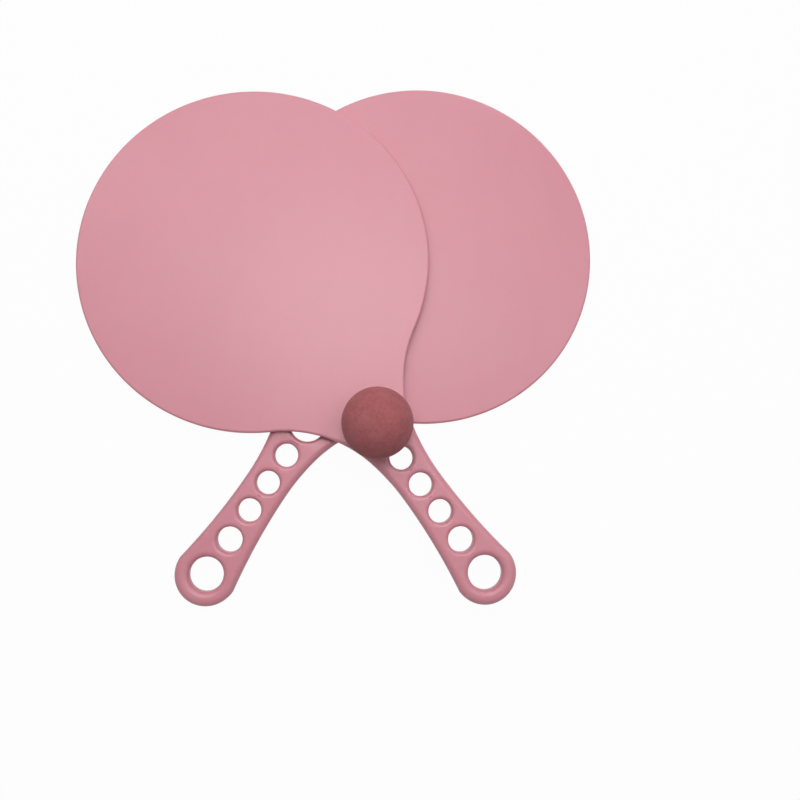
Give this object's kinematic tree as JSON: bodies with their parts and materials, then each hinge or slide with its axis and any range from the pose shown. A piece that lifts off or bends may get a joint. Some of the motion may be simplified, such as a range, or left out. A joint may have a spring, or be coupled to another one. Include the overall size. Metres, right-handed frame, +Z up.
{
  "type": "beach bat set",
  "caption": "Round-bladed plastic beach bats lying crossed, with a waisted handle pierced by round holes, and a foam rubber ball resting in the upper bat's neck hole.",
  "frame": {"origin": "on the ground under the middle of the set's bounding box", "axes": "+Z up off the ground; +Y from the handles towards the blades; +X from the upper bat's blade towards the lower bat's blade"},
  "size_m": [0.3341, 0.3375, 0.0584],
  "materials": {
    "moulded_pink": "satin moulded plastic, pink",
    "foam_rubber": "matt foam rubber with fine pits, dusky rose"
  },
  "bodies": {
    "back_paddle": {"back_paddle": "moulded_pink"},
    "front_paddle": {"front_paddle": "moulded_pink"},
    "ball": {"ball": "foam_rubber"}
  },
  "joints": [
    {"name": "front_paddle_lift", "type": "slide", "parent": "back_paddle", "child": "front_paddle", "axis": [0, 0, 1], "range_m": [0, 0.08]},
    {"name": "ball_lift", "type": "slide", "parent": "front_paddle", "child": "ball", "axis": [0, 0, 1], "range_m": [0, 0.06]}
  ]
}
